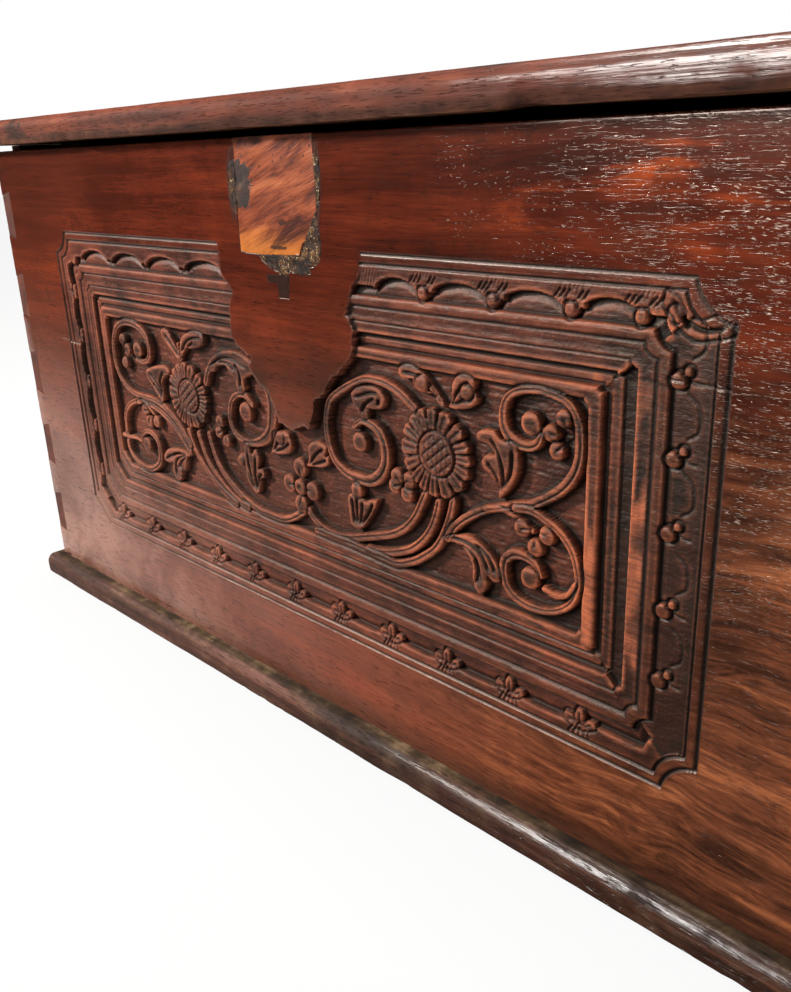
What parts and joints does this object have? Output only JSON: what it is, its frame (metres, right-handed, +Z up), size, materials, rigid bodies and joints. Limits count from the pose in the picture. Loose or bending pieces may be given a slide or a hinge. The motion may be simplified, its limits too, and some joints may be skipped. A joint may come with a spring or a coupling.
{
  "type": "chest",
  "caption": "Damchiya dowry chest: dovetailed teak box on a nosed base, carved sunk panel on the front, lift-up lid on iron strap hinges.",
  "frame": {"origin": "floor level, middle of the overall length and depth", "axes": "+X along the length, to the right seen from the front; the front faces -Y; +Z up"},
  "size_m": [1.092, 0.5314, 0.5753],
  "materials": {
    "carved_teak": "waxed, darkened by age",
    "polished_teak": "hand polished over old stain",
    "base_teak": "worn, dusty, dark grey brown",
    "lid_teak": "hand polished, worn on its nose",
    "inner_teak": "bare, unpolished",
    "patch_wood": "paler let-in wood, waxed",
    "filler_wax": "dark wax filler with pale specks",
    "plug_wood": "dark plug",
    "wrought_iron": "hand forged, blackened"
  },
  "bodies": {
    "chest": {"front_board": "carved_teak", "left_end_board_lower": "polished_teak", "left_end_board_upper": "polished_teak", "right_end_board_lower": "polished_teak", "right_end_board_upper": "polished_teak", "back_board_lower": "polished_teak", "back_board_upper": "polished_teak", "base_board_front": "base_teak", "base_board_middle": "base_teak", "base_board_rear": "base_teak", "lock_patch": "patch_wood", "patch_filler": "filler_wax", "keyhole_plug": "plug_wood", "base_nails": "wrought_iron", "back_strap_nails": "wrought_iron", "hinge_back_strap_left": "wrought_iron", "hinge_back_strap_right": "wrought_iron", "hinge_pin_left": "wrought_iron", "hinge_pin_right": "wrought_iron"},
    "lid": {"lid_board_front": "lid_teak", "lid_board_rear": "lid_teak", "lid_batten_left": "inner_teak", "lid_batten_right": "inner_teak", "batten_nails": "wrought_iron", "hinge_lid_strap_left": "wrought_iron", "hinge_lid_strap_right": "wrought_iron", "lid_strap_nails": "wrought_iron"}
  },
  "joints": [
    {"name": "lid_hinge", "type": "hinge", "parent": "chest", "child": "lid", "pos_m": [0, 0.25965, 0.54625], "axis": [-1, 0, 0], "range_deg": [0, 105]}
  ]
}
